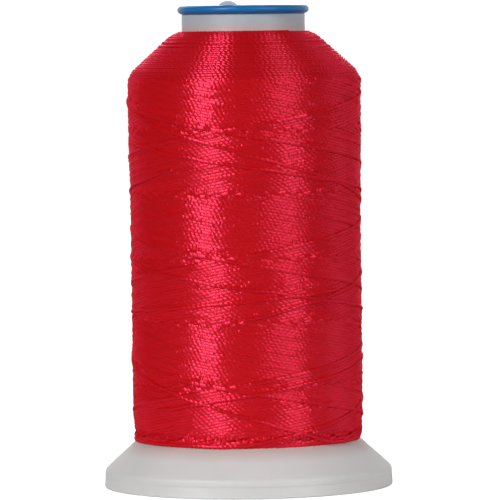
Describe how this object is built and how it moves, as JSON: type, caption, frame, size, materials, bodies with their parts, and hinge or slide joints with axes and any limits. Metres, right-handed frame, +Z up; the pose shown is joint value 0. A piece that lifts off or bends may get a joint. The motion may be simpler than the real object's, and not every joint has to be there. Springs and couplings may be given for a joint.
{
  "type": "thread spool",
  "caption": "Small snap-base spool of red embroidery thread: white barrel with conical flange, blue top ring, and a base cap that slides to trap the thread's end.",
  "frame": {"origin": "on the spool's axis, at the underside of the base cap's foot", "axes": "+Z up along the spool's axis towards the blue ring, -Y towards the viewer of the picture"},
  "size_m": [0.0424, 0.0424, 0.0711],
  "materials": {
    "white_plastic": "satin moulded white plastic, slightly translucent",
    "blue_plastic": "glossy moulded blue plastic",
    "red_thread": "lustrous two-ply red filament thread, cross wound"
  },
  "bodies": {
    "base": {"base_cap": "white_plastic"},
    "spool": {"spool_barrel": "white_plastic", "top_ring": "blue_plastic", "thread_core": "red_thread", "thread_winding": "red_thread"}
  },
  "joints": [
    {"name": "snap_slide", "type": "slide", "parent": "base", "child": "spool", "axis": [0, 0, 1], "range_m": [0, 0.003]}
  ]
}
